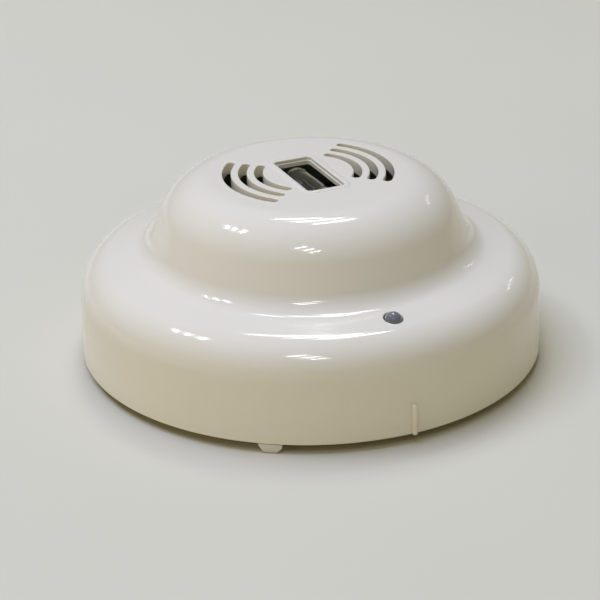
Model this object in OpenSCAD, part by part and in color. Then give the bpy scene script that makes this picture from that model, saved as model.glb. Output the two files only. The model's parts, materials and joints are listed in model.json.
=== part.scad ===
// Ceiling heat detector head on a twist-lock mounting base.
// Origin: centre of the base's back face. +Z points out of the ceiling through the dome.
// The sensing window runs along Y, the vents lie on the X sides, the lamp and rib face -Y.

/* [Cover] */
// Diameter at the rim of the cover
cover_d = 105; // [104:0.5:108]
// Height of the dome above the rim
cover_h = 40.6; // [40:0.1:41.5]
// Wall thickness of the cover
wall = 1.6; // [1.4:0.1:1.8]
// Draft angle of the straight skirt
draft = 1.4; // [1:0.1:2]
// Height of the straight skirt
skirt_h = 14.2; // [13.5:0.1:15]
// Radius of the shoulder between skirt and brim
shoulder_r = 8.5; // [8:0.1:9]
// Slope of the brim round the dome
brim_slope = 12; // [11:0.5:14]
// Radius at the foot of the dome
dome_foot_r = 36.9; // [36.5:0.1:37.4]
// Lean of the dome wall from vertical
dome_lean = 22.8; // [22:0.2:24]
// Radius of the dome's edge
dome_edge_r = 12.5; // [12.2:0.1:12.9]
// Slope of the cap where it meets the dome's edge
cap_slope = 1; // [0.5:0.5:3]

/* [Window and vents] */
// Width of the sensing window
window_w = 9; // [8:0.1:10]
// Length of the sensing window
window_l = 19.4; // [17:0.1:20]
// Place of the window's middle
window_at = [-0.2, -0.6];
// Number of vent slots on each side
vent_count = 3; // [1:3]
// Width of a vent slot
vent_w = 1.9; // [1.5:0.1:2.1]
// Radial pitch of the vent slots
vent_pitch = 3.6; // [3.2:0.1:3.8]
// Centre that the vent slots run round
vent_at = [0.4, 1.1];
// Angle that a vent slot spans
vent_span = 83; // [60:1:90]

/* [Status lamp and index marks] */
// Diameter of the status lamp's dome
lamp_d = 4; // [3.8:0.1:4.6]
// Distance of the status lamp from the axis
lamp_at = 42.6; // [42:0.1:43]
// Height of the index rib above the rim
rib_h = 7; // [5:0.5:9]

/* [Twist lock] */
// Angle between the entry position and the locked position
lock_turn = 34; // [30:1:36]
// Angle that a bayonet lug spans
lug_span = 22; // [18:1:24]
// Directions of the three bayonet lugs at the entry position
lug_angles = [20, 145, 260];

/* [Mounting base] */
// Thickness of the base plate
base_t = 2; // [2:0.1:2.4]
// Radius of the base plate
base_r = 48.8; // [47:0.1:49]
// Spacing of the two mounting slots
slot_spacing = 60; // [56:1:62]
// Width of a mounting slot
slot_w = 4.4; // [4:0.1:5]
// Length of a mounting slot, end to end
slot_l = 9; // [7:0.5:10]
// Radius of the cable entry
entry_r = 10; // [8:0.5:11]

/* [Terminals] */
// Directions of the terminals
terminal_angles = [60, 120, 240, 300];
// Distance of the terminal screws from the axis
terminal_at = 22; // [21:0.5:23]
// Thread pitch of the terminal screws
screw_pitch = 0.5; // [0.5:0.1:0.7]

/* [Hidden] */
$fn = 64;

eps = 0.01;
abs_white = [0.86, 0.85, 0.82];
abs_cream = [0.76, 0.71, 0.6];
brass = [0.8, 0.65, 0.35];
steel = [0.7, 0.7, 0.72];
black = [0.12, 0.12, 0.12];

// Heights, measured from the back face of the base
rim_z = 2;
top_z = rim_z + cover_h;
chassis_z = 11;
chassis_t = 2;
board_z = 16;
board_t = 1.6;
part_z = board_z + board_t;

// Outline of the cover: each arc is [centre r, centre z, radius, start angle, end angle]
cover_r = cover_d / 2;
skirt_top_r = cover_r - skirt_h * tan(draft);
shoulder_c = [skirt_top_r - shoulder_r * cos(draft), rim_z + skirt_h - shoulder_r * sin(draft)];
brim_edge = shoulder_c + shoulder_r * [sin(brim_slope), cos(brim_slope)];
foot = [dome_foot_r, brim_edge[1] + (brim_edge[0] - dome_foot_r) * tan(brim_slope)];
foot_fillet = 5.8;
brim_normal = [sin(brim_slope), cos(brim_slope)];
dome_normal = [cos(dome_lean), sin(dome_lean)];
foot_c = foot + (brim_normal + dome_normal) * foot_fillet / (1 + brim_normal * dome_normal);

// The dome's edge arc touches the leaning wall and the shallow cap
function cap_edge(cr) = cr + dome_edge_r * sin(cap_slope);
function cap_r(cr) = cap_edge(cr) / sin(cap_slope);
function edge_z(cr) = top_z - cap_r(cr) * (1 - cos(cap_slope)) - dome_edge_r * cos(cap_slope);
function wall_r(z) = dome_foot_r - (z - foot[1]) * tan(dome_lean);
function edge_r(cr) = wall_r(edge_z(cr) + dome_edge_r * sin(dome_lean)) - dome_edge_r * cos(dome_lean);
dome_c_r = edge_r(edge_r(edge_r(edge_r(21))));
dome_c = [dome_c_r, edge_z(dome_c_r)];
cap_rad = cap_r(dome_c_r);

function arc_points(c, r, a0, a1, n) =
    [for (i = [0:n]) c + r * [cos(a0 + (a1 - a0) * i / n), sin(a0 + (a1 - a0) * i / n)]];

// Points of the cover's outline, moved inwards by d
function outline(d) = concat(
    [[cover_r - d, rim_z]],
    arc_points(shoulder_c, shoulder_r - d, draft, 90 - brim_slope, 10),
    arc_points(foot_c, -foot_fillet - d, 90 - brim_slope, dome_lean, 5),
    arc_points(dome_c, dome_edge_r - d, dome_lean, 90 - cap_slope, 12),
    arc_points([0, top_z - cap_rad], cap_rad - d, 90 - cap_slope, 90, 4)
);

// Height of the sloping brim at a distance r from the axis
function brim_z(r) = brim_edge[1] + (brim_edge[0] - r) * tan(brim_slope);

module around(angles, at = 0) {
    for (a = angles) rotate([0, 0, a]) translate([at, 0, 0]) children();
}

module ring(outer, inner, z0, z1) {
    translate([0, 0, z0]) difference() {
        cylinder(r = outer, h = z1 - z0);
        translate([0, 0, -1]) cylinder(r = inner, h = z1 - z0 + 2);
    }
}

// Part of a ring, from angle a0 to a1
module sector(inner, outer, z0, z1, a0, a1) {
    rotate([0, 0, a0]) rotate_extrude(angle = a1 - a0)
        translate([inner, z0]) square([outer - inner, z1 - z0]);
}

module rod(r, z0, z1) {
    translate([0, 0, z0]) cylinder(r = r, h = z1 - z0);
}

module block(x, y, z0, z1) {
    translate([-x / 2, -y / 2, z0]) cube([x, y, z1 - z0]);
}

module rounded_block(x, y, r, z0, z1) {
    translate([0, 0, z0]) linear_extrude(z1 - z0) union() {
        square([x - 2 * r, y], center = true);
        square([x, y - 2 * r], center = true);
        for (sx = [-1, 1], sy = [-1, 1]) translate([sx * (x / 2 - r), sy * (y / 2 - r)]) circle(r);
    }
}

// ---- Head: cover ----

cover_screw_angles = [40, 160, 280];
cover_screw_at = 47.4;
cover_boss_r = 2.4;
cover_boss_top = rim_z + skirt_h + 4.5;
cover_web_w = 1.2;
cover_screw_r = 0.95;
cover_screw_depth = 8;
window_corner = 1;
surround_margin = 1.4;
surround_rise = 0.2;
rib_w = 1.1;
rib_out = 1;
vent_r0 = 10.2;
vent_pad_r = [8.7, 20.5];
vent_pad_half = 50;
vent_depth = 2.9;

module vent(r_in) {
    sector(r_in, r_in + vent_w, top_z - 3.5, top_z + 2, -vent_span / 2, vent_span / 2);
    around([-vent_span / 2, vent_span / 2], r_in + vent_w / 2) rod(vent_w / 2, top_z - 3.5, top_z + 2);
}

module cover_skin() {
    rotate_extrude($fn = 128) difference() {
        polygon(concat([[0, rim_z]], outline(0)));
        polygon(concat([[0, rim_z - 1], [cover_r - wall, rim_z - 1]], outline(wall)));
    }
}

// Thicker parts of the cap that the vents pass through
module vent_pads() {
    translate([vent_at[0], vent_at[1], 0]) for (side = [0, 180])
        sector(vent_pad_r[0], vent_pad_r[1], top_z - vent_depth, top_z - wall + 0.1,
            side - vent_pad_half, side + vent_pad_half);
}

module cover_bosses() {
    around(cover_screw_angles, cover_screw_at) {
        rod(cover_boss_r, chassis_z + chassis_t, cover_boss_top);
        translate([1, -cover_web_w / 2, chassis_z + chassis_t])
            cube([cover_r - wall - cover_screw_at - 0.6, cover_web_w, cover_boss_top - chassis_z - chassis_t - 2]);
    }
}

module index_rib() {
    translate([-rib_w / 2, -cover_r - rib_out, rim_z]) cube([rib_w, rib_out + wall / 2, rib_h - rib_w / 2]);
    translate([0, -cover_r + wall / 2, rim_z + rib_h - rib_w / 2])
        rotate([90, 0, 0]) cylinder(d = rib_w, h = rib_out + wall / 2, $fn = 32);
}

module outer_cover() {
    color(abs_white) difference() {
        union() {
            cover_skin();
            translate([window_at[0], window_at[1], 0])
                rounded_block(window_w + 2 * surround_margin, window_l + 2 * surround_margin,
                    window_corner + surround_margin, top_z - wall, top_z + surround_rise);
            vent_pads();
            cover_bosses();
            index_rib();
        }
        translate([window_at[0], window_at[1], 0])
            rounded_block(window_w, window_l, window_corner, top_z - 5, top_z + 2);
        translate([vent_at[0], vent_at[1], 0]) for (side = [0, 180], i = [0:vent_count - 1])
            rotate([0, 0, side]) vent(vent_r0 + i * vent_pitch);
        translate([0, -lamp_at, 0]) rod(lamp_d / 2 + 0.1, rim_z + skirt_h, top_z);
        around(cover_screw_angles, cover_screw_at)
            rod(cover_screw_r, chassis_z, chassis_z + chassis_t + cover_screw_depth - 1);
    }
}

// ---- Head: chassis, board and their screws ----

chassis_r = 50;
spigot_r = 40;
spigot_wall = 2;
lug_z = [4.4, 6];
lug_r = 42.9;
standoff_angles = [0, 120, 240];
standoff_at = 35;
standoff_r = 3;
board_r = 46.2;
board_screw_r = 1.2;
pad_z = 7.6;
pad_t = 0.6;
pad_at = 34.5;
pad_l = 6;
pin_r = 0.8;
// The pads meet the springs, which lie at the terminals' directions, when the head is locked
pad_angles = [for (a = terminal_angles) a + lock_turn];

module head_chassis() {
    color(abs_cream) difference() {
        union() {
            rod(chassis_r, chassis_z, chassis_z + chassis_t);
            ring(spigot_r, spigot_r - spigot_wall, lug_z[0], chassis_z + eps);
            for (a = lug_angles)
                sector(spigot_r - eps, lug_r, lug_z[0], lug_z[1], a - lug_span / 2, a + lug_span / 2);
            around(standoff_angles, standoff_at) rod(standoff_r, chassis_z + chassis_t - eps, board_z);
            around(pad_angles, pad_at) block(pad_l, 7, pad_z + pad_t, chassis_z + eps);
        }
        around(standoff_angles, standoff_at) rod(board_screw_r, chassis_z + 0.6, board_z + 1);
        around(cover_screw_angles, cover_screw_at) rod(cover_screw_r + 0.15, chassis_z - 1, board_z);
        around(pad_angles, pad_at) rod(pin_r, pad_z, board_z);
    }
}

module pan_screw(shank_r, head_r, head_h, length) {
    difference() {
        union() {
            rod(head_r, 0, head_h * 0.55);
            translate([0, 0, head_h * 0.55]) cylinder(r1 = head_r, r2 = head_r * 0.7, h = head_h * 0.45);
            rod(shank_r, -length, eps);
        }
        for (a = [0, 90]) rotate([0, 0, a]) block(head_r * 1.2, head_r * 0.24, head_h * 0.4, head_h + 1);
    }
}

module cover_screws() {
    color(steel) around(cover_screw_angles, cover_screw_at)
        translate([0, 0, chassis_z]) mirror([0, 0, 1])
            pan_screw(cover_screw_r, 2.1, 1.5, chassis_t + cover_screw_depth - 1.5);
}

module board_screws() {
    color(steel) around(standoff_angles, standoff_at)
        translate([0, 0, part_z]) pan_screw(board_screw_r, 2.4, 1.7, board_t + 4);
}

module circuit_board() {
    color([0.1, 0.35, 0.2]) difference() {
        rod(board_r, board_z, part_z);
        around(cover_screw_angles, cover_screw_at) rod(cover_boss_r + 0.4, board_z - 1, part_z + 1);
        around(standoff_angles, standoff_at) rod(board_screw_r + 0.1, board_z - 1, part_z + 1);
        around(pad_angles, pad_at) rod(pin_r, board_z - 1, part_z + 1);
    }
}

module contact_pads() {
    color(brass) around(pad_angles, pad_at) difference() {
        block(pad_l, 6, pad_z, pad_z + pad_t);
        rod(pin_r, pad_z - 1, pad_z + 2);
    }
}

module contact_pins() {
    color(brass) around(pad_angles, pad_at) rod(pin_r, pad_z, part_z + 0.8);
}

// ---- Head: status lamp ----

lamp_dome_z = brim_z(lamp_at) - 0.7;
lamp_foot_z = part_z + 2.4;

module status_lamp() {
    color([0.35, 0.36, 0.38]) translate([0, -lamp_at, 0]) {
        translate([0, 0, lamp_dome_z]) difference() {
            sphere(d = lamp_d, $fn = 48);
            rod(lamp_d, -lamp_d, 0);
        }
        rod(lamp_d / 2, lamp_foot_z, lamp_dome_z);
        rod(lamp_d / 2 + 0.35, lamp_foot_z, lamp_foot_z + 0.8);
    }
}

module lamp_holder() {
    color(black) translate([0, -lamp_at, 0]) difference() {
        rod(lamp_d / 2 + 0.2, part_z, lamp_foot_z);
        for (s = [-1, 1]) translate([s * 1.27, 0, 0]) rod(0.3, part_z - 1, lamp_foot_z + 1);
    }
}

module lamp_leads() {
    color(steel) for (s = [-1, 1]) translate([s * 1.27, -lamp_at, 0]) rod(0.3, part_z, lamp_foot_z);
}

// ---- Head: sensing tube behind the window ----

tube_r = 3.8;
tube_wall = 0.5;
tube_half = 10;
tube_z = top_z - 4.9;
cradle_z = tube_z - tube_r - 3;
saddle_z = tube_z - 2;
saddle_w = 9;
saddle_gap = 0.03;

module along_y(z) {
    translate([0, 0, z]) rotate([-90, 0, 0]) children();
}

module capsule(r, half) {
    translate([0, 0, r - half]) cylinder(r = r, h = 2 * (half - r));
    for (s = [-1, 1]) translate([0, 0, s * (half - r)]) sphere(r = r);
}

module sensor_tube_glass() {
    color([0.6, 0.66, 0.66, 0.4]) along_y(tube_z) difference() {
        capsule(tube_r, tube_half);
        capsule(tube_r - tube_wall, tube_half - tube_wall);
        for (s = [-1, 1]) translate([s * 0.9, 0, 0]) rod(0.25, 0, tube_half);
    }
}

module tube_cathode() {
    color(steel) along_y(tube_z) translate([-0.9, 0, 0]) block(0.3, 2.6, -5, 5);
}

module tube_anode() {
    color(steel) along_y(tube_z) translate([0.9, 0, 0]) {
        block(0.3, 2.6, -5, -4);
        block(0.3, 2.6, 4, 5);
        for (s = [-1, 0, 1]) translate([0, s * 1.15, 0]) block(0.3, 0.3, -4, 4);
    }
}

module tube_pins() {
    pin_y = tube_half + 1.2;
    color(steel) for (s = [-1, 1]) translate([s * 0.9, 0, 0]) {
        along_y(tube_z) rod(0.25, 5, pin_y + 0.25);
        translate([0, pin_y, 0]) rod(0.25, part_z, tube_z);
    }
}

module tube_cradle() {
    color(black) difference() {
        union() {
            block(12, 26, part_z, part_z + 2);
            block(8, 2.4, part_z, cradle_z);
            for (s = [-1, 1]) translate([0, s * 5, 0]) block(saddle_w, 2, part_z, saddle_z);
            block(8, 15.4, cradle_z - 1.4, cradle_z);
        }
        along_y(tube_z) rod(tube_r + saddle_gap, -12, 12);
        for (s = [-1, 1]) translate([s * 0.9, tube_half + 1.2, 0]) rod(0.35, part_z - 1, part_z + 3);
    }
}

// ---- Head: thermistor under the vents ----

thermistor_at = 15;
bead_z = top_z - 5.5;

module thermistor_bead() {
    color([0.15, 0.3, 0.2]) translate([thermistor_at, 0, bead_z]) difference() {
        sphere(r = 1.2, $fn = 40);
        for (s = [-1, 1]) translate([0, s * 0.6, 0]) rod(0.2, -3, -0.5);
    }
}

module thermistor_leads() {
    color(steel) translate([thermistor_at, 0, 0])
        for (s = [-1, 1]) translate([0, s * 0.6, 0]) rod(0.2, part_z, bead_z - 0.5);
}

module thermistor_post() {
    color(black) translate([thermistor_at, 0, 0]) difference() {
        rod(2.2, part_z, bead_z - 5);
        for (s = [-1, 1]) translate([0, s * 0.6, 0]) rod(0.2, part_z - 1, bead_z);
    }
}

// ---- Head: power supply and logic on the board ----

transformer_pos = [-18.5, -14.5];

module at_transformer() {
    translate([transformer_pos[0], transformer_pos[1], 0]) children();
}

module transformer_core() {
    color([0.2, 0.2, 0.22]) at_transformer() difference() {
        block(15, 10, part_z + 2, part_z + 13);
        for (s = [-1, 1]) translate([s * 4.25, 0, 0]) block(3.5, 12, part_z + 4.5, part_z + 10.5);
    }
}

module transformer_bobbin() {
    color([0.25, 0.22, 0.18]) at_transformer() {
        block(14, 15, part_z, part_z + 1.9);
        for (sx = [-1, 1], sy = [-1, 1]) translate([sx * 4.2, sy * 6.1, 0])
            block(3, 1.2, part_z + 1.8, part_z + 10.5);
    }
}

module transformer_winding() {
    color([0.75, 0.4, 0.2]) at_transformer() for (s = [-1, 1]) translate([s * 4.25, 0, 0])
        block(3.2, 10.8, part_z + 4.7, part_z + 10.3);
}

capacitors = [[22, -17, 4, 10.5], [11, -25, 3.15, 9]];

module supply_capacitors() {
    color([0.15, 0.18, 0.35]) for (c = capacitors) translate([c[0], c[1], 0]) difference() {
        rod(c[2], part_z + 1.2, part_z + c[3]);
        ring(c[2] + 1, c[2] - 0.35, part_z + 2.6, part_z + 3.3);
        for (a = [0, 90]) rotate([0, 0, a]) block(c[2], 0.3, part_z + c[3] - 0.3, part_z + c[3] + 1);
    }
}

module capacitor_bungs() {
    color(black) for (c = capacitors) translate([c[0], c[1], 0]) rod(c[2] - 0.5, part_z, part_z + 1.2);
}

module film_capacitor() {
    color([0.7, 0.15, 0.1]) translate([-24, 12, 0]) rotate([0, 0, 60]) block(13, 5, part_z, part_z + 9);
}

chip_pos = [20, 19];
chip_rot = 20;
leg_pitch = 1.27;

module controller_chip() {
    color(black) translate([chip_pos[0], chip_pos[1], 0]) rotate([0, 0, chip_rot]) difference() {
        block(10, 6, part_z + 0.3, part_z + 2);
        translate([-3.9, -1.9, 0]) rod(0.5, part_z + 1.8, part_z + 3);
    }
}

module chip_legs() {
    color(steel) translate([chip_pos[0], chip_pos[1], 0]) rotate([0, 0, chip_rot])
        for (i = [-3:3], s = [-1, 1]) translate([i * leg_pitch, s * 3.6, 0]) {
            block(0.45, 1.2, part_z + 1, part_z + 1.2);
            translate([0, s * 0.5, 0]) block(0.45, 0.2, part_z, part_z + 1.1);
            translate([0, s * 0.9, 0]) block(0.45, 1, part_z, part_z + 0.2);
        }
}

// Axial parts: [x, y, turn]
resistor_places = [[-8, 24, 0], [-8, 28, 0], [-8, 32, 0], [6, 29, 90], [10, 29, 90], [-30, -2, 90], [32, 6, 60]];
diode_places = [[-9, -27, 15], [-7, -32, 15], [30, -5, 80]];
lead_r = 0.3;
lead_half = 5.5;

module axial_leads(places, body_half, z) {
    for (p = places) translate([p[0], p[1], 0]) rotate([0, 0, p[2]]) for (s = [-1, 1]) {
        translate([s * body_half, 0, z]) rotate([0, s * 90, 0]) cylinder(r = lead_r, h = lead_half - body_half, $fn = 24);
        translate([s * lead_half, 0, 0]) rod(lead_r, part_z, z + lead_r, $fn = 24);
    }
}

module resistors() {
    color([0.35, 0.6, 0.75]) for (p = resistor_places) translate([p[0], p[1], part_z + 1.4]) rotate([0, 0, p[2]])
        rotate([0, 90, 0]) {
            translate([0, 0, -2.4]) cylinder(r = 0.95, h = 4.8);
            for (s = [-1, 1]) translate([0, 0, s * 2.4 - 0.7]) cylinder(r = 1.15, h = 1.4);
        }
}

module resistor_leads() {
    color(steel) axial_leads(resistor_places, 3.1, part_z + 1.4);
}

module diodes() {
    color([0.75, 0.3, 0.12]) for (p = diode_places) translate([p[0], p[1], part_z + 1.2]) rotate([0, 0, p[2]])
        rotate([0, 90, 0]) translate([0, 0, -2]) cylinder(r = 0.9, h = 4);
}

module diode_leads() {
    color(steel) axial_leads(diode_places, 2, part_z + 1.2);
}

transistor_places = [[-26, 22, 0], [26, -25, 120]];
transistor_z = [part_z + 2, part_z + 5.5];

module transistors() {
    color(black) for (p = transistor_places) translate([p[0], p[1], 0]) rotate([0, 0, p[2]])
        difference() {
            rod(2.4, transistor_z[0], transistor_z[1]);
            translate([0, -3.4, 0]) block(8, 4, part_z, part_z + 8);
        }
    color(steel) for (p = transistor_places) translate([p[0], p[1], 0]) rotate([0, 0, p[2]])
        for (i = [-1:1]) translate([i * leg_pitch, 0.3, 0]) block(0.45, 0.45, part_z, transistor_z[0]);
}

// ---- Base ----

collar_r = [43.4, 45.2];
collar_z = 8;
ledge_z = 6.3;
ledge_r = 40.4;
stop_gap = 0.5;
stop_span = 2.5;
lip_r = [47, 48.4];
lip_h = 1;
entry_collar_z = 4;
boss_z = 4;
boss_w = 11;
boss_l = 12.5;
nut_w = 5.5;
nut_z = 1.4;
nut_bore_r = 1.5;
rivet_at = terminal_at + 4.7;
rivet_r = 0.6;
rivet_head_r = 1;
tab_angle = 270 - lock_turn;
tab_w = 5.1;
tab_taper = 1.1;
tab_chamfer = 1;
tab_reach = 52.3;
tab_gap = 0.15;

module base_disc() {
    rod(base_r, 0, base_t);
    ring(lip_r[1], lip_r[0], base_t - eps, base_t + lip_h);
    ring(entry_r + 2, entry_r, base_t - eps, entry_collar_z);
}

// Ring with ledges that the head's lugs pass and then turn under
module bayonet_collar() {
    ring(collar_r[1], collar_r[0], base_t - eps, collar_z);
    for (a = lug_angles) {
        entry_end = a + lug_span / 2 + stop_gap;
        ledge_end = a - lug_span / 2 - stop_gap;
        lock_end = ledge_end - lock_turn;
        sector(ledge_r, collar_r[0] + 0.5, ledge_z, collar_z - 0.2, lock_end - 1, ledge_end);
        for (stop = [lock_end - stop_span, entry_end])
            sector(ledge_r + 0.2, collar_r[0] + 0.7, base_t - eps, collar_z - 0.4, stop, stop + stop_span);
    }
}

// Index tab at the rim, in line with the cover's rib when the head is locked
module index_tab() {
    rotate([0, 0, tab_angle]) translate([base_r - 2, 0, 0]) rotate([90, 0, 90])
        linear_extrude(tab_reach - base_r + 2)
            polygon([[tab_taper - tab_w / 2, 0], [tab_w / 2 - tab_taper, 0], [tab_w / 2, tab_chamfer],
                [tab_w / 2, rim_z - tab_gap], [-tab_w / 2, rim_z - tab_gap]]);
}

module base_plate() {
    color(abs_cream) difference() {
        union() {
            base_disc();
            bayonet_collar();
            index_tab();
            around(terminal_angles, terminal_at) block(boss_l, boss_w, base_t - eps, boss_z);
        }
        rod(entry_r, -1, entry_collar_z + 1);
        for (s = [-1, 1]) translate([s * slot_spacing / 2, 0, 0]) {
            block(slot_l - slot_w, slot_w, -1, base_t + 1);
            for (e = [-1, 1]) translate([e * (slot_l - slot_w) / 2, 0, 0]) rod(slot_w / 2, -1, base_t + 1);
        }
        around(terminal_angles, terminal_at) block(nut_w, nut_w, nut_z, boss_z + 1);
        around(terminal_angles, rivet_at) rod(rivet_r, 1, boss_z + 1);
    }
}

module terminal_nuts() {
    color(brass) around(terminal_angles, terminal_at) difference() {
        block(nut_w, nut_w, nut_z, boss_z);
        rod(nut_bore_r, nut_z - 1, boss_z + 1);
    }
}

spring_t = 0.5;
spring_w = 5;
arch_w = 4.6;
arch_r = 7.05;
arch_top = pad_z - 0.3;
arch_at = 33.5;
arch_ends = [56, 144];
spring_lap = 0.6;

// Leaf with a flat end under the clamp plate and an arched end under the head's pad
module contact_spring() {
    flat_end = arch_at + arch_r * cos(arch_ends[1]) + spring_lap;
    difference() {
        union() {
            translate([terminal_at - 4.6, -spring_w / 2, boss_z])
                cube([flat_end - terminal_at + 4.6, spring_w, spring_t]);
            translate([arch_at, arch_w / 2, arch_top - arch_r]) rotate([90, 0, 0])
                sector(arch_r - spring_t, arch_r, 0, arch_w, arch_ends[0], arch_ends[1]);
        }
        translate([terminal_at, 0, 0]) rod(1.7, boss_z - 1, boss_z + 2);
        translate([rivet_at, 0, 0]) rod(rivet_r, boss_z - 1, boss_z + 1);
    }
}

module contact_springs() {
    color(brass) around(terminal_angles) contact_spring();
}

module spring_rivets() {
    color(steel) around(terminal_angles, rivet_at) {
        rod(rivet_r, 1, boss_z + spring_t);
        rod(rivet_head_r, boss_z + spring_t, boss_z + spring_t + 0.5);
    }
}

clamp_z = boss_z + spring_t + 0.05;
clamp_t = 0.8;
clamp_w = 6.8;
screw_r = 1.45;
screw_head_z = clamp_z + clamp_t + 0.03;

module clamp_plate(i) {
    color(steel) around([terminal_angles[i]], terminal_at) difference() {
        block(clamp_w, clamp_w + 1.7, clamp_z, clamp_z + clamp_t);
        rod(screw_r + 0.08, clamp_z - 1, clamp_z + clamp_t + 1);
    }
}

module terminal_screw(i) {
    color(brass) around([terminal_angles[i]], terminal_at)
        translate([0, 0, screw_head_z]) pan_screw(screw_r, 2.9, 1.9, screw_head_z - nut_z - 0.2);
}

module clamp_plate_1() { clamp_plate(0); }
module clamp_plate_2() { clamp_plate(1); }
module clamp_plate_3() { clamp_plate(2); }
module clamp_plate_4() { clamp_plate(3); }
module terminal_screw_1() { terminal_screw(0); }
module terminal_screw_2() { terminal_screw(1); }
module terminal_screw_3() { terminal_screw(2); }
module terminal_screw_4() { terminal_screw(3); }

outer_cover();
head_chassis();
cover_screws();
circuit_board();
board_screws();
status_lamp();
lamp_holder();
lamp_leads();
sensor_tube_glass();
tube_cathode();
tube_anode();
tube_pins();
tube_cradle();
thermistor_bead();
thermistor_leads();
thermistor_post();
contact_pads();
contact_pins();
transformer_core();
transformer_bobbin();
transformer_winding();
supply_capacitors();
capacitor_bungs();
film_capacitor();
controller_chip();
chip_legs();
resistors();
resistor_leads();
diodes();
diode_leads();
transistors();
base_plate();
terminal_nuts();
contact_springs();
spring_rivets();
clamp_plate_1();
clamp_plate_2();
clamp_plate_3();
clamp_plate_4();
terminal_screw_1();
terminal_screw_2();
terminal_screw_3();
terminal_screw_4();
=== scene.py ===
"""Ceiling heat detector on its twist-lock base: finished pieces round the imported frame."""

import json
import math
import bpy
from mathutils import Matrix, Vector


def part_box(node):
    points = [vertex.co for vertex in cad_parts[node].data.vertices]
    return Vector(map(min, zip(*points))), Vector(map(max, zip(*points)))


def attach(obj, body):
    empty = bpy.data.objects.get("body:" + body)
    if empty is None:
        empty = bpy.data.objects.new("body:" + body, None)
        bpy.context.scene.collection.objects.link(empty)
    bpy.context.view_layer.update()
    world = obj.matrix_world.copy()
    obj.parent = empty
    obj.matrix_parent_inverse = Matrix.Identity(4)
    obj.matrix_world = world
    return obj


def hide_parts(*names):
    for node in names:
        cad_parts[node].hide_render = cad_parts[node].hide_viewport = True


bl_info = {
    "name": "Heat detector",
    "version": (1, 0, 0),
    "blender": (4, 5, 0),
    "location": "View3D > Sidebar > Detector",
    "description": "Builds a glossy ceiling heat detector with its sensing tube, lamp and mounting base",
    "category": "Object",
}

import bmesh
import bpy
import numpy as np
from bpy.props import FloatProperty, FloatVectorProperty, IntProperty, PointerProperty
from mathutils import Matrix, Vector

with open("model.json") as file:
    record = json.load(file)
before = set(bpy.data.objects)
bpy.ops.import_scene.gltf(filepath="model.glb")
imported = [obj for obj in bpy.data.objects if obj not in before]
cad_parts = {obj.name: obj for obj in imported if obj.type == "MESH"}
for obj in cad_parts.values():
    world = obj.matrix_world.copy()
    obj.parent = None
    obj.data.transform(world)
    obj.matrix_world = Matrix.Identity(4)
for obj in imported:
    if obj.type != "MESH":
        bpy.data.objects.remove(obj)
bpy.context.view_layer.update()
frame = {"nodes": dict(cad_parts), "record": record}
MM = 0.001
BODY = {n: b for b, ns in frame["record"]["behaviour"]["bodies"].items() for n in ns}
SLOT = {p["node"]: p["material_slot"] for p in frame["record"]["subparts"]}
COVER_LOW, COVER_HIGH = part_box("outer_cover")
LAMP_LOW, LAMP_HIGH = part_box("status_lamp")
TUBE_LOW, TUBE_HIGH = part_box("sensor_tube_glass")


# ---- Properties ----


def distance(name, description, default, low, high):
    return FloatProperty(name=name, description=description, default=default, min=low, max=high,
                         unit="LENGTH", subtype="DISTANCE", precision=5)


def angle(name, description, degrees, low, high):
    return FloatProperty(name=name, description=description, default=math.radians(degrees),
                         min=math.radians(low), max=math.radians(high), unit="ROTATION", subtype="ANGLE")


def colour(name, description, default):
    return FloatVectorProperty(name=name, description=description, default=default, size=3,
                               min=0, max=1, subtype="COLOR")


class DETECTOR_PG_cover(bpy.types.PropertyGroup):
    """Sizes of the moulded cover"""

    radius: distance("Rim radius", "Radius of the cover at its rim", 52.5 * MM, 0.05, 0.055)
    rim: distance("Rim height", "Height of the rim above the ceiling", 2 * MM, 0.001, 0.003)
    top: distance("Top height", "Height of the dome's middle", COVER_HIGH.z - 0.2 * MM, 0.04, 0.045)
    wall: distance("Wall", "Thickness of the moulded wall", 1.6 * MM, 0.001, 0.002)
    skirt: distance("Skirt height", "Height of the straight skirt", 14.2 * MM, 0.013, 0.015)
    shoulder: distance("Shoulder radius", "Radius from skirt to brim", 8.5 * MM, 0.007, 0.01)
    foot: distance("Dome foot", "Radius at the foot of the dome", 36.9 * MM, 0.036, 0.038)
    fillet: distance("Foot fillet", "Radius between brim and dome", 5.8 * MM, 0.001, 0.006)
    edge: distance("Dome edge", "Radius of the dome's edge", 12.5 * MM, 0.012, 0.013)
    draft: angle("Draft", "Lean of the skirt", 1.4, 0.5, 3)
    slope: angle("Brim slope", "Fall of the brim", 12, 10, 15)
    lean: angle("Dome lean", "Lean of the dome's wall", 22.8, 21, 25)
    crown: angle("Cap slope", "Fall of the cap at the dome's edge", 1, 0.5, 3)
    segments: IntProperty(name="Segments", description="Facets round the cover", default=224, min=64, max=320)
    tint: colour("Colour", "Colour of the moulded plastic", (0.795, 0.724, 0.53))


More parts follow.
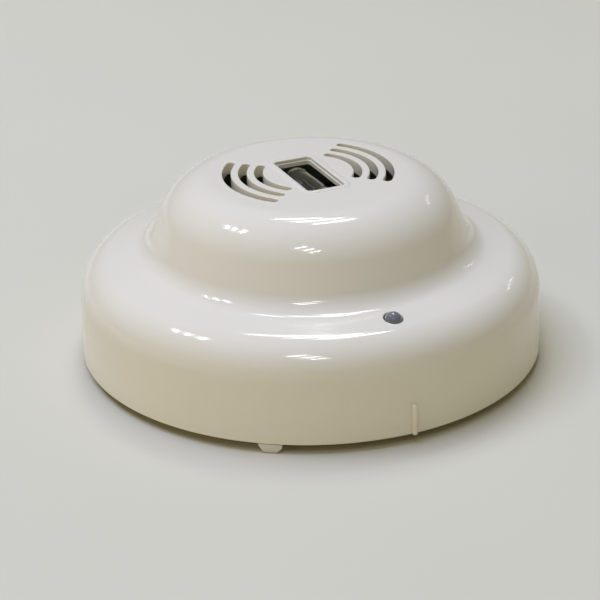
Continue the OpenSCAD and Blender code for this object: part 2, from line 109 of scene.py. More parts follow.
class DETECTOR_PG_openings(bpy.types.PropertyGroup):
    """Sizes of the window, vents and index marks"""

    window_width: distance("Window width", "Width of the sensing window", 9 * MM, 0.007, 0.011)
    window_length: distance("Window length", "Length of the sensing window", 19.4 * MM, 0.016, 0.021)
    window_corner: distance("Window corner", "Corner radius of the window", 1 * MM, 0.0005, 0.002)
    pad_margin: distance("Pad margin", "Width of the raised pad round the window", 1.4 * MM, 0.001, 0.002)
    pad_rise: distance("Pad rise", "Height of the raised pad", 0.2 * MM, 0.0001, 0.0003)
    window_x: distance("Window X", "Place of the window's middle", -0.2 * MM, -0.002, 0.002)
    window_y: distance("Window Y", "Place of the window's middle", -0.6 * MM, -0.002, 0.002)
    vent_x: distance("Vents X", "Centre that the vents run round", 0.4 * MM, -0.002, 0.002)
    vent_y: distance("Vents Y", "Centre that the vents run round", 1.1 * MM, -0.002, 0.002)
    step_depth: distance("Step depth", "Depth of the step in the window's wall", 0.8 * MM, 0.0004, 0.0012)
    step_width: distance("Step width", "Width of the step in the window's wall", 0.22 * MM, 0.0001, 0.0005)
    vent_radius: distance("First vent", "Inner radius of the first vent", 10.2 * MM, 0.009, 0.011)
    vent_width: distance("Vent width", "Width of a vent slot", 1.9 * MM, 0.001, 0.0025)
    vent_pitch: distance("Vent pitch", "Radial pitch of the vents", 3.6 * MM, 0.003, 0.004)
    vent_span: angle("Vent span", "Angle a vent spans", 83, 60, 100)
    vents: IntProperty(name="Vents", description="Vent slots on each side", default=3, min=1, max=3)
    rounding: distance("Edge rounding", "Soft edge of every opening", 0.28 * MM, 0.0001, 0.0005)
    vent_depth: distance("Vent depth", "Thickness of the cap where the vents pass", 2.9 * MM, 0.002, 0.004)
    thick_inner: distance("Thick part start", "Radius where the thick cap starts", 8.7 * MM, 0.007, 0.01)
    thick_outer: distance("Thick part end", "Radius where the thick cap ends", 20.5 * MM, 0.019, 0.022)
    thick_half: angle("Thick part half span", "Half the angle the thick cap spans", 50, 40, 60)
    rib_width: distance("Rib width", "Width of the index rib", 1.1 * MM, 0.0008, 0.002)
    rib_out: distance("Rib reach", "How far the rib stands out", 1 * MM, 0.0005, 0.001)
    rib_height: distance("Rib height", "Height of the index rib", 7 * MM, 0.004, 0.009)


class DETECTOR_PG_stage(bpy.types.PropertyGroup):
    """Floor, lights and camera"""

    floor_tint: colour("Floor colour", "Colour of the plain floor", (0.66, 0.61, 0.43))
    camera_distance: distance("Camera distance", "Distance of the camera", 492 * MM, 0.2, 2)
    lens: FloatProperty(name="Lens", description="Focal length", default=128.6,
                        min=30, max=300, unit="CAMERA")
    turn: angle("Camera azimuth", "Direction of the camera", -23.7, -180, 180)
    height: angle("Camera elevation", "Elevation of the camera", 24.82, 0, 90)
    roll: angle("Camera roll", "Roll of the camera", -1.04, -10, 10)
    key: FloatProperty(name="Key", description="Power of the overhead light", default=13.5,
                       min=0, max=100, unit="POWER")


# ---- Shader expressions ----


class Sock:
    """One output socket of a shader tree, usable in sums and products."""

    def __init__(self, finish, socket):
        self.finish, self.socket = finish, socket

    def maths(self, operation, *values):
        return self.finish.node("ShaderNodeMath", {"operation": operation}, dict(enumerate(values)))

    def __add__(self, other):
        return self.maths("ADD", self, other)

    __radd__ = __add__

    def __mul__(self, other):
        return self.maths("MULTIPLY", self, other)

    __rmul__ = __mul__

    def between(self, low, high, to_low=0.0, to_high=1.0):
        """This value, mapped from low..high and held inside to_low..to_high."""
        return self.finish.node("ShaderNodeMapRange", {"clamp": True},
                                {0: self, 1: low, 2: high, 3: to_low, 4: to_high})


class Finish:
    """A procedural material, built from expressions on Object coordinates."""

    def __init__(self, name):
        self.material = bpy.data.materials.new(name)
        self.material.use_nodes = True
        self.tree = self.material.node_tree
        self.tree.nodes.clear()
        self.place = self.node("ShaderNodeTexCoord", {}, {}, "Object")

    def node(self, kind, settings, values, out=0):
        made = self.tree.nodes.new(kind)
        for key, value in settings.items():
            setattr(made, key, value)
        for key, value in values.items():
            socket = made.inputs[key]
            if isinstance(value, Sock):
                self.tree.links.new(value.socket, socket)
            elif isinstance(value, (tuple, list)) and socket.type == "RGBA" and len(value) == 3:
                socket.default_value = (*value, 1)
            else:
                socket.default_value = value
        return Sock(self, made.outputs[out])

    def stretched(self, scale):
        return self.node("ShaderNodeVectorMath", {"operation": "MULTIPLY"}, {0: self.place, 1: scale})

    def noise(self, millimetres, detail=2.0, roughness=0.5, at=None):
        return self.node("ShaderNodeTexNoise", {}, {
            "Vector": at or self.place, "Scale": 1000 / millimetres,
            "Detail": detail, "Roughness": roughness})

    def cells(self, millimetres):
        return self.node("ShaderNodeTexVoronoi", {}, {"Vector": self.place, "Scale": 1000 / millimetres})

    def mix(self, factor, first, second):
        return self.node("ShaderNodeMix", {"data_type": "RGBA"}, {0: factor, 6: first, 7: second}, 2)

    def bump(self, height, millimetres, normal=None):
        values = {"Strength": 1.0, "Distance": millimetres * MM, "Height": height}
        if normal is not None:
            values["Normal"] = normal
        return self.node("ShaderNodeBump", {}, values)

    def surface(self, **values):
        """Principled shader with the given sockets, linked to the output."""
        sockets = {k.replace("_", " "): v for k, v in values.items()}
        shader = self.node("ShaderNodeBsdfPrincipled", {}, sockets)
        out = self.tree.nodes.new("ShaderNodeOutputMaterial")
        self.tree.links.new(shader.socket, out.inputs["Surface"])
        return self.material


def shade(tone, share):
    return tuple(min(1.0, c * share) for c in tone)


def moulded(name, tone, gloss, peel=0.0035, grain=0.0, mottle=0.03, specks=0.0, coat=0.0):
    """Injection-moulded plastic: faint flow clouds, orange peel or spark grain, and handling marks."""
    f = Finish(name)
    cloud = f.noise(26, 3).between(0.3, 0.7)
    fine = f.noise(0.45, 2)
    base = f.mix(cloud, shade(tone, 1 - mottle), shade(tone, 1 + mottle))
    base = f.mix(fine.between(0.35, 0.65, 0, 0.5), base, shade(tone, 1 - 0.5 * mottle))
    if specks:
        dot = f.cells(1.7).between(0.05, 0.09, 1, 0)
        base = f.mix(dot * specks, base, shade(tone, 0.55))
    haze = f.noise(9, 4).between(0.42, 0.72)
    scratch = f.noise(1.0, 2, at=f.stretched((1.0, 14.0, 3.0))).between(0.64, 0.78)
    rough = gloss + haze * (0.35 * gloss) + scratch * (0.25 * gloss)
    normal = f.bump(f.noise(2.4, 1), peel)
    if grain:
        normal = f.bump(f.noise(0.22, 3, 0.6), grain, normal=normal)
    values = dict(Base_Color=base, Roughness=rough, Normal=normal, IOR=1.53)
    if coat:
        values.update(Coat_Weight=coat, Coat_Roughness=0.04)
    return f.surface(**values)


def metal(name, tone, roughness, brush=(1.0, 1.0, 20.0), stain=0.12):
    """Plated or rolled metal: brushed streaks, dull patches and fine pitting."""
    f = Finish(name)
    streak = f.noise(1.6, 3, 0.6, at=f.stretched(brush))
    patch = f.noise(3.5, 4).between(0.4, 0.7)
    base = f.mix(patch * 0.6, shade(tone, 1.03), shade(tone, 1 - stain))
    rough = roughness + streak * 0.18 + patch * 0.1
    pits = f.bump(f.noise(0.12, 2), 0.003)
    normal = f.bump(streak, 0.004, normal=pits)
    return f.surface(Base_Color=base, Metallic=1.0, Roughness=rough, Normal=normal)


def glassy(name, tone, roughness, transmission, ior=1.47, coat=0.0):
    """Fused glass or clear epoxy with faint waves and dust."""
    f = Finish(name)
    dust = f.noise(0.5, 4).between(0.55, 0.8)
    base = f.mix(dust * 0.25, tone, shade(tone, 0.8))
    wave = f.bump(f.noise(2.0, 1), 0.004)
    return f.surface(Base_Color=base, Roughness=roughness + dust * 0.08, Normal=wave,
                     Transmission_Weight=transmission, IOR=ior, Coat_Weight=coat)


def laminate(name, tone):
    """Circuit laminate: solder mask over copper tracks and a faint glass weave."""
    f = Finish(name)
    track = f.node("ShaderNodeTexBrick", {"offset": 0.37}, {
        "Vector": f.place, "Scale": 150.0, "Mortar Size": 0.012,
        "Color1": (0, 0, 0), "Color2": (0.2, 0.2, 0.2), "Mortar": (1, 1, 1)}, "Fac")
    weave = f.noise(0.6, 2)
    base = f.mix(track, shade(tone, 1.0), shade(tone, 1.7))
    base = f.mix(weave.between(0.3, 0.7, 0, 0.3), base, shade(tone, 0.6))
    return f.surface(Base_Color=base, Roughness=0.28 + weave * 0.12, Normal=f.bump(track + weave * 0.2, 0.03))


def banded(name, tone, stripe, pitch, width):
    """Lacquered body with plain stripes round it."""
    f = Finish(name)
    wave = f.node("ShaderNodeTexWave", {"wave_type": "RINGS", "rings_direction": "SPHERICAL"},
                  {"Vector": f.place, "Scale": 1000 / pitch, "Distortion": 0.4}, "Fac")
    base = f.mix(wave.between(width, width + 0.05), tone, stripe)
    base = f.mix(f.noise(0.8, 3).between(0.3, 0.7, 0, 0.25), base, shade(tone, 0.7))
    return f.surface(Base_Color=base, Roughness=0.22 + f.noise(0.6) * 0.12, Normal=f.bump(f.noise(0.5), 0.01))


def materials(cover_tint):
    """One finish for each of the record's material slots."""
    return {
        "cover_plastic": moulded("cover_plastic", cover_tint, 0.085, peel=0.0016, mottle=0.012,
                                 specks=0.1, coat=0.25),
        "chassis_plastic": moulded("chassis_plastic", (0.70, 0.66, 0.56), 0.38, grain=0.006),
        "base_plastic": moulded("base_plastic", (0.72, 0.67, 0.56), 0.34, grain=0.006, specks=0.15),
        "black_plastic": moulded("black_plastic", (0.025, 0.025, 0.026), 0.42, grain=0.008),
        "steel": metal("steel", (0.60, 0.60, 0.61), 0.24),
        "screw_brass": metal("screw_brass", (0.78, 0.62, 0.30), 0.22),
        "brass": metal("brass", (0.76, 0.60, 0.29), 0.26, stain=0.2),
        "spring_bronze": metal("spring_bronze", (0.70, 0.47, 0.25), 0.28, brush=(14.0, 1.0, 1.0)),
        "tinned_wire": metal("tinned_wire", (0.72, 0.72, 0.71), 0.3),
        "board_laminate": laminate("board_laminate", (0.03, 0.16, 0.07)),
        "lamp_epoxy": glassy("lamp_epoxy", (0.19, 0.195, 0.20), 0.06, 0.2, 1.55, coat=1.0),
        "tube_glass": glassy("tube_glass", (0.80, 0.86, 0.84), 0.02, 1.0),
        "electrode_metal": metal("electrode_metal", (0.36, 0.36, 0.37), 0.32, stain=0.3),
        "thermistor_coating": moulded("thermistor_coating", (0.03, 0.06, 0.045), 0.16, mottle=0.1),
        "ferrite": moulded("ferrite", (0.06, 0.06, 0.065), 0.55, grain=0.02, mottle=0.15),
        "bobbin_plastic": moulded("bobbin_plastic", (0.08, 0.065, 0.05), 0.4, grain=0.008),
        "enamelled_copper": banded("enamelled_copper", (0.45, 0.16, 0.06), (0.3, 0.09, 0.03), 0.6, 0.6),
        "capacitor_sleeve": banded("capacitor_sleeve", (0.03, 0.04, 0.12), (0.45, 0.47, 0.5), 9.0, 0.93),
        "rubber_bung": moulded("rubber_bung", (0.025, 0.025, 0.025), 0.6, grain=0.01),
        "capacitor_resin": moulded("capacitor_resin", (0.42, 0.05, 0.03), 0.14, peel=0.02),
        "chip_epoxy": moulded("chip_epoxy", (0.022, 0.022, 0.023), 0.45, grain=0.01),
        "resistor_body": banded("resistor_body", (0.20, 0.38, 0.52), (0.25, 0.08, 0.04), 2.3, 0.8),
        "diode_body": glassy("diode_body", (0.62, 0.22, 0.08), 0.08, 0.5),
    }


FINISHES = {}


def finish(slot):
    if not FINISHES:
        FINISHES.update(materials(tuple(bpy.context.scene.detector_cover.tint)))
    return FINISHES[slot]


# ---- Mesh tools ----


def add(name, data):
    """A new object in the scene, with the given mesh, light or camera."""
    made = bpy.data.objects.new(name, data)
    bpy.context.scene.collection.objects.link(made)
    return made


def mesh_of(points, faces, name):
    mesh = bpy.data.meshes.new(name)
    mesh.from_pydata([tuple(p) for p in points], [], faces)
    mesh.update()
    return mesh


def outward(mesh):
    """Merges doubled points and turns every face of a closed mesh outwards."""
    work = bmesh.new()
    work.from_mesh(mesh)
    bmesh.ops.remove_doubles(work, verts=work.verts, dist=1e-7)
    bmesh.ops.recalc_face_normals(work, faces=work.faces)
    work.to_mesh(mesh)
    work.free()
    return mesh


def ring(radius, z, count):
    turns = (2 * math.pi * k / count for k in range(count))
    return [(radius * math.cos(a), radius * math.sin(a), z) for a in turns]


def bands(rings, count):
    """Faces between rings of points that follow each other."""
    sides = [(k, (k + 1) % count) for k in range(count)]
    return [(low + k, low + count + k, low + count + n, low + n)
            for low in range(0, (rings - 1) * count, count) for k, n in sides]


def lathe(profile, segments, name, place=Matrix.Identity(4)):
    """Closed solid turned round Z from (r, z) points that start and end on the axis."""
    inner = profile[1:-1]
    points = [p for r, z in inner for p in ring(r, z, segments)]
    first, last = len(points), len(points) + 1
    points += [(0, 0, profile[0][1]), (0, 0, profile[-1][1])]
    faces = bands(len(inner), segments)
    end = (len(inner) - 1) * segments
    for k in range(segments):
        n = (k + 1) % segments
        faces += [(first, k, n), (last, end + n, end + k)]
    mesh = mesh_of(points, faces, name)
    mesh.transform(place)
    return outward(mesh)


def stack(rings, name):
    """Closed solid through rings with the same number of points."""
    count, end = len(rings[0]), (len(rings) - 1) * len(rings[0])
    points = [p for level in rings for p in level]
    faces = [tuple(range(count)), tuple(end + k for k in range(count))] + bands(len(rings), count)
    return outward(mesh_of(points, faces, name))


def pillow(low, high, radius, segments, name):
    """A block with every edge rounded."""
    work = bmesh.new()
    size = Vector(high) - Vector(low)
    centre = (Vector(high) + Vector(low)) / 2
    bmesh.ops.create_cube(work, size=1.0, matrix=Matrix.LocRotScale(centre, None, size))
    bmesh.ops.bevel(work, geom=list(work.edges), offset=radius, segments=segments,
                    profile=0.5, affect="EDGES")
    mesh = bpy.data.meshes.new(name)
    work.to_mesh(mesh)
    work.free()
    return outward(mesh)


def joined(meshes, name):
    work = bmesh.new()
    for m in meshes:
        work.from_mesh(m)
    mesh = bpy.data.meshes.new(name)
    work.to_mesh(mesh)
    work.free()
    for m in meshes:
        bpy.data.meshes.remove(m)
    return mesh


def baked(piece):
    """The piece's evaluated shape as a plain mesh, with its modifiers gone."""
    graph = bpy.context.evaluated_depsgraph_get()
    mesh = bpy.data.meshes.new_from_object(piece.evaluated_get(graph), depsgraph=graph)
    piece.modifiers.clear()
    old = piece.data
    piece.data = mesh
    if old.users == 0:
        bpy.data.meshes.remove(old)
    return piece


def carve(piece, tool_mesh, operation):
    """Cuts a tool out of a piece, or joins it to the piece."""
    tool = add("tool", tool_mesh)
    cut = piece.modifiers.new("carve", "BOOLEAN")
    cut.operation, cut.solver, cut.object = operation, "MANIFOLD", tool
    baked(piece)
    bpy.data.objects.remove(tool)
    return piece


def smooth(piece, degrees):
    piece.data.shade_smooth()
    piece.data.set_sharp_from_angle(angle=math.radians(degrees))


def settle(piece, node):
    """Gives a finished piece its material, body and slot, in place of its CAD node."""
    piece.data.materials.clear()
    piece.data.materials.append(finish(SLOT[node]))
    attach(piece, BODY[node])
    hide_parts(node)


# ---- Cover ----

UPRIGHT = math.pi / 2
RIM_ROUND = 0.25 * MM
COVER_SCREW_ANGLES, COVER_SCREW_RING = (40, 160, 280), 47.4 * MM
# Sections of a screw's boss and of its pilot hole, as (r, z) in millimetres
BOSS = [(0, 20.7), (2.0, 20.7), (2.4, 20.3), (2.4, 13.2), (2.2, 13), (0, 13)]
PILOT = [(0, 20), (0.95, 20), (0.95, 12), (0, 12)]
# The lamp's flange past its lens, the gap round the lens, and the bevel of the flange
LAMP_FLANGE, LAMP_GAP, LAMP_BEVEL = 0.35 * MM, 0.12 * MM, 0.1 * MM
# How near to the section a face and its corners lie, and how well they agree, to take its normals
FACE_GAP, FACE_AGREES, CORNER_GAP = 0.12 * MM, 0.985, 0.03 * MM


def on(centre, radius, around):
    """Point of a circle at an angle."""
    return (centre[0] + radius * math.cos(around), centre[1] + radius * math.sin(around))


def arc(centre, radius, start, end, count):
    return [on(centre, radius, start + (end - start) * i / count) for i in range(count + 1)]


class Outline:
    """Section of the cover: arcs from the skirt over shoulder, brim and dome to the cap."""

    def __init__(self, c):
        self.c = c
        skirt_r = c.radius - c.skirt * math.tan(c.draft)
        self.shoulder = on((skirt_r, c.rim + c.skirt), -c.shoulder, c.draft)
        self.brim = on(self.shoulder, c.shoulder, UPRIGHT - c.slope)
        foot_z = self.brim[1] + (self.brim[0] - c.foot) * math.tan(c.slope)
        brim_n = (math.sin(c.slope), math.cos(c.slope))
        dome_n = (math.cos(c.lean), math.sin(c.lean))
        share = c.fillet / (1 + brim_n[0] * dome_n[0] + brim_n[1] * dome_n[1])
        self.fillet = (c.foot + (brim_n[0] + dome_n[0]) * share, foot_z + (brim_n[1] + dome_n[1]) * share)
        r = 21 * MM
        for _ in range(30):
            cap = (r + c.edge * math.sin(c.crown)) / math.sin(c.crown)
            z = c.top - cap * (1 - math.cos(c.crown)) - c.edge * math.cos(c.crown)
            r = c.foot - (z + c.edge * dome_n[1] - foot_z) * math.tan(c.lean) - c.edge * dome_n[0]
        self.dome, self.cap = (r, z), cap

    def parts(self):
        """Centre, signed radius and angle range of each arc, from the shoulder to the cap."""
        c, brim, crown = self.c, UPRIGHT - self.c.slope, UPRIGHT - self.c.crown
        return [(self.shoulder, c.shoulder, c.draft, brim), (self.fillet, -c.fillet, brim, c.lean),
                (self.dome, c.edge, c.lean, crown), ((0.0, c.top - self.cap), self.cap, crown, UPRIGHT)]

    def points(self, inset, counts):
        """Points from the skirt's foot to the axis, moved inwards by inset."""
        arcs = [arc(centre, radius - inset, start, end, count)
                for (centre, radius, start, end), count in zip(self.parts(), counts)]
        return arcs[0] + arcs[1] + arcs[2] + arcs[3][1:]

    def height(self, r):
        """Height of the outer surface at radius r, for the cap, dome edge and brim."""
        c = self.c
        if r <= self.cap * math.sin(c.crown):
            return c.top - self.cap + math.sqrt(self.cap ** 2 - r ** 2)
        if r <= self.dome[0] + c.edge * math.cos(c.lean):
            return self.dome[1] + math.sqrt(c.edge ** 2 - (r - self.dome[0]) ** 2)
        return self.brim[1] + (self.brim[0] - r) * math.tan(c.slope)

    def normals(self, r, z):
        """Nearest surface normal and distance for arrays of section points."""
        best, found = np.full(len(r), 1e9), np.zeros((len(r), 2))
        shoulder, fillet, dome, cap = self.parts()
        for (cr, cz), radius, start, end in (shoulder, fillet, dome, cap):
            sign = math.copysign(1.0, radius)
            dr, dz = (r - cr) * sign, (z - cz) * sign
            around = np.clip(np.arctan2(dz, dr), min(start, end), max(start, end))
            gap = np.hypot(r - cr - radius * np.cos(around), z - cz - radius * np.sin(around))
            closer = gap < best
            best = np.where(closer, gap, best)
            found[closer] = np.stack([np.cos(around), np.sin(around)], 1)[closer]
        foot = (self.c.radius, self.c.rim)
        flats = [(foot, on(*shoulder[:3]), shoulder[2]),
                 (on(*shoulder[:2], shoulder[3]), on(*fillet[:3]), fillet[2]),
                 (on(*fillet[:2], fillet[3]), on(*dome[:3]), dome[2])]
        for (r0, z0), (r1, z1), around in flats:
            length = (r1 - r0) ** 2 + (z1 - z0) ** 2
            t = np.clip(((r - r0) * (r1 - r0) + (z - z0) * (z1 - z0)) / length, 0, 1)
            gap = np.hypot(r - r0 - t * (r1 - r0), z - z0 - t * (z1 - z0))
            closer = gap < best - 1e-9
            best = np.where(closer, gap, best)
            found[closer] = (math.cos(around), math.sin(around))
        return found, best


def slot_outline(middle, half_width, half_span, turn):
    """Outline of a slot that follows an arc and ends round."""
    far, near = (turn + half_span, turn - half_span)
    return (arc((0, 0), middle + half_width, near, far, 30)
            + arc(on((0, 0), middle, far), half_width, far, far + math.pi, 10)[1:-1]
            + arc((0, 0), middle - half_width, far, near, 30)
            + arc(on((0, 0), middle, near), half_width, near + math.pi, near + 2 * math.pi, 10)[1:-1])


def shifted(points, dx, dy):
    return [(x + dx, y + dy) for x, y in points]


def sector_outline(inner, outer, half_span, turn):
    """Outline of part of a ring."""
    far, near = turn + half_span, turn - half_span
    return arc((0, 0), outer, near, far, 24) + arc((0, 0), inner, far, near, 24)


def box_outline(half_x, half_y, corner, grow):
    """Outline of a rectangle with round corners, grown outwards."""
    radius = max(corner + grow, 0.02 * MM)
    points = []
    for quarter, (sx, sy) in enumerate(((1, 1), (-1, 1), (-1, -1), (1, -1))):
        start = math.pi / 2 * quarter
        centre = (sx * (half_x - corner), sy * (half_y - corner))
        points += arc(centre, radius, start, start + math.pi / 2, 7)
    return points


def opening(outline, height, rounding, bottom, steps=()):
    """A cutter with a quarter-round lip that follows the surface, and steps further down the wall."""
    levels = [(rounding * (1 - math.sin(a)), rounding * (1 - math.cos(a)) - 0.008 * MM)
              for a in (math.pi / 2 * i / 5 for i in range(6))]
    levels += list(steps)
    top = [(x, y, height(math.hypot(x, y)) + 1.5 * MM) for x, y in outline(rounding)]
    rings = [top]
    for grow, depth in levels:
        rings.append([(x, y, height(math.hypot(x, y)) - depth) for x, y in outline(grow)])
    rings.append([(x, y, bottom) for x, y in outline(levels[-1][0])])
    return stack(rings, "opening")


def read(elements, name, width=3, kind=np.float32):
    """One value of every element of a mesh, as an array."""
    values = np.zeros(len(elements) * width, kind)
    elements.foreach_get(name, values)
    return values.reshape(-1, width) if width > 1 else values


def cover_normals(piece, outline):
    """Exact normals on the turned outer face, so its gloss stays clean round the openings."""
    mesh = piece.data
    smooth(piece, 32)
    normals = read(mesh.corner_normals, "vector")
    corners = read(mesh.vertices, "co")[read(mesh.loops, "vertex_index", 1, np.int32)]

    def spun(points):
        r = np.hypot(points[:, 0], points[:, 1])
        section, gap = outline.normals(r, points[:, 2])
        flat = points[:, :2] / np.maximum(r, 1e-9)[:, None]
        return np.column_stack([flat * section[:, :1], section[:, 1]]), gap

    ideal, gap = spun(read(mesh.polygons, "center"))
    outer = (gap < FACE_GAP) & ((ideal * read(mesh.polygons, "normal")).sum(1) > FACE_AGREES)
    pointed, near = spun(corners)
    use = np.repeat(outer, read(mesh.polygons, "loop_total", 1, np.int32)) & (near < CORNER_GAP)
    normals[use] = pointed[use]
    mesh.normals_split_custom_set([tuple(n) for n in normals])


def screw_posts(section, segments):
    """A turned shape at each of the cover's screws, from (r, z) points in millimetres."""
    section = [(r * MM, z * MM) for r, z in section]
    posts = []
    for degrees in COVER_SCREW_ANGLES:
        x, y = on((0, 0), COVER_SCREW_RING, math.radians(degrees))
        posts.append(lathe(section, segments, "post", Matrix.Translation((x, y, 0))))
    return posts


class DETECTOR_OT_cover(bpy.types.Operator):
    """Build the moulded cover with its window, vents, lamp hole and index rib"""

    bl_idname = "detector.cover"
    bl_label = "Cover"

    def execute(self, context):
        c, o = context.scene.detector_cover, context.scene.detector_openings
        outline = Outline(c)
        skirt = [(c.radius - c.skirt * math.tan(c.draft) * t, c.rim + c.skirt * t) for t in (0.75, 0.5, 0.25)]
        low_z = c.rim + RIM_ROUND
        rim = arc((c.radius - RIM_ROUND, low_z), RIM_ROUND, 0, -math.pi / 2, 4)
        rim += arc((c.radius - c.wall + RIM_ROUND, low_z), RIM_ROUND, -math.pi / 2, -math.pi, 4)
        outer, inner = outline.points(0, (26, 18, 34, 6)), outline.points(c.wall, (11, 8, 15, 6))
        section = outer[::-1] + skirt + rim + inner
        piece = add("cover", lathe(section, c.segments, "cover"))

        def window(grow):
            sides = box_outline(o.window_width / 2, o.window_length / 2, o.window_corner, grow)
            return shifted(sides, o.window_x, o.window_y)

        # How far each level of the raised pad grows, in millimetres, and its height
        pad = [(0.02, c.top - 0.5 * c.wall), (0.02, c.top - 0.06 * MM), (-0.1, c.top),
               (-0.22, c.top + 0.6 * o.pad_rise), (-0.36, c.top + 0.9 * o.pad_rise),
               (-0.5, c.top + o.pad_rise)]
        rings = [[(x, y, z) for x, y in window(o.pad_margin + g * MM)] for g, z in pad]
        rib_low = (-o.rib_width / 2, -c.radius - o.rib_out, c.rim)
        rib_high = (o.rib_width / 2, -c.radius + 0.5 * c.wall, c.rim + o.rib_height)
        adds = [stack(rings, "pad"), pillow(rib_low, rib_high, 0.42 * MM, 5, "rib")]
        for side in (0, math.pi):
            thick = sector_outline(o.thick_inner, o.thick_outer, o.thick_half, side)
            thick = shifted(thick, o.vent_x, o.vent_y)
            levels = (c.top - o.vent_depth, c.top - c.wall + 0.1 * MM)
            adds.append(stack([[(x, y, z) for x, y in thick] for z in levels], "thick_part"))
        adds += screw_posts(BOSS, 32)
        carve(piece, joined(adds, "additions"), "UNION")

        step = [(0.0, o.step_depth), (-o.step_width, o.step_depth + 0.12 * MM)]
        cuts = [opening(window, lambda r: c.top + o.pad_rise, o.rounding, c.top - 5 * MM, step)]
        for side in (0, math.pi):
            for i in range(o.vents):
                def vent(grow, middle=o.vent_radius + i * o.vent_pitch + o.vent_width / 2, turn=side):
                    sides = slot_outline(middle, o.vent_width / 2 + grow, o.vent_span / 2, turn)
                    return shifted(sides, o.vent_x, o.vent_y)

                cuts.append(opening(vent, outline.height, o.rounding * 0.8, c.top - 4 * MM))
        lamp_r = (LAMP_HIGH.x - LAMP_LOW.x) / 2 - LAMP_FLANGE + LAMP_GAP
        lamp_at = (0, (LAMP_HIGH.y + LAMP_LOW.y) / 2)
        cuts.append(opening(lambda grow: arc(lamp_at, lamp_r + grow, 0, 2 * math.pi, 48)[:-1], outline.height,
                            0.22 * MM, c.rim + c.skirt))
        cuts += screw_posts(PILOT, 20)
        carve(piece, joined(cuts, "cutters"), "DIFFERENCE")
        cover_normals(piece, outline)
        settle(piece, "outer_cover")
        return {"FINISHED"}


# ---- Lamp and sensing tube ----


class DETECTOR_OT_lamp(bpy.types.Operator):
    """Build the smoke-grey lens of the status lamp"""

    bl_idname = "detector.lamp"
    bl_label = "Status lamp"

    def execute(self, context):
        flange = (LAMP_HIGH.x - LAMP_LOW.x) / 2
        radius = flange - LAMP_FLANGE
        low, high = LAMP_LOW.z, LAMP_HIGH.z
        dome_z = high - radius
        section = [(0, high)] + arc((0, dome_z), radius, math.pi / 2, 0, 22)[1:]
        step = low + 0.8 * MM
        section += [(radius, dome_z - 1.5 * MM), (radius, step), (flange - LAMP_BEVEL, step),
                    (flange, step - LAMP_BEVEL), (flange, low + LAMP_BEVEL), (flange - LAMP_BEVEL, low), (0, low)]
        place = Matrix.Translation((0, (LAMP_LOW.y + LAMP_HIGH.y) / 2, 0))
        piece = add("lamp_lens", lathe(section, 64, "lamp_lens", place))
        smooth(piece, 40)
        settle(piece, "status_lamp")
        return {"FINISHED"}


class DETECTOR_OT_tube(bpy.types.Operator):
    """Build the hollow glass sensing tube with its sealed ends"""

    bl_idname = "detector.tube"
    bl_label = "Sensing tube"

    def execute(self, context):
        radius = (TUBE_HIGH.x - TUBE_LOW.x) / 2
        half = (TUBE_HIGH.y - TUBE_LOW.y) / 2
        wall, pinch = 0.5 * MM, 0.12 * MM

        def shell(r, h):
            e = h - r
            side = [(r, e - 0.2 * MM), (r - pinch, e - 1.1 * MM), (r, e - 2.0 * MM), (r, 0)]
            half_shape = arc((0, e), r, math.pi / 2, 0, 16) + side
            return half_shape + [(x, -y) for x, y in half_shape[::-1]][1:]

        outer = shell(radius, half)
        inner = shell(radius - wall, half - wall)[::-1]
        lying = Matrix.Rotation(-math.pi / 2, 4, "X")
        place = Matrix.Translation((0, 0, (TUBE_LOW.z + TUBE_HIGH.z) / 2)) @ lying
        outside = lathe(outer, 64, "outside", place)
        inside = lathe(inner, 64, "inside", place)
        inside.flip_normals()
        piece = add("sensing_tube", joined([outside, inside], "sensing_tube"))
        smooth(piece, 60)
        settle(piece, "sensor_tube_glass")
        return {"FINISHED"}


# ---- Repeated pieces, made with Geometry Nodes ----

# Threads of every screw, and the chip's turn on the board with its rows of legs
THREAD_PITCH, THREAD_START = 0.5 * MM, 1.0 * MM
CHIP_TURN, LEG_PITCH, LEG_REACH, LEG_WIDTH = math.radians(20), 1.27 * MM, 3.6 * MM, 0.45 * MM


def new_tree(name, inputs):
    """A modifier tree that takes points and the inputs, given as name: (kind, default)."""
    tree = bpy.data.node_groups.new(name, "GeometryNodeTree")
    tree.is_modifier = True
    inputs = {"Points": ("Geometry", None), **inputs, "Material": ("Material", None)}
    for label, (kind, default) in inputs.items():
        made = tree.interface.new_socket(label, in_out="INPUT", socket_type="NodeSocket" + kind)
        if default is not None:
            made.default_value = default
    tree.interface.new_socket("Geometry", in_out="OUTPUT", socket_type="NodeSocketGeometry")
    return tree, tree.nodes.new("NodeGroupInput").outputs


def linked(tree, kind, links, **settings):
    """A node with its inputs linked to sockets or set to constants."""
    made = tree.nodes.new(kind)
    for key, value in settings.items():
        setattr(made, key, value)
    for key, value in links.items():
        if isinstance(value, bpy.types.NodeSocket):
            tree.links.new(value, made.inputs[key])
        else:
            made.inputs[key].default_value = value
    return made


def maths(tree, operation, first, second):
    return linked(tree, "ShaderNodeMath", {0: first, 1: second}, operation=operation).outputs[0]


def finished_tree(tree, geometry, material):
    """Ends a tree in Realize Instances and Set Material."""
    real = linked(tree, "GeometryNodeRealizeInstances", {0: geometry})
    coated = linked(tree, "GeometryNodeSetMaterial", {"Geometry": real.outputs[0], "Material": material})
    linked(tree, "NodeGroupOutput", {0: coated.outputs[0]})
    return tree


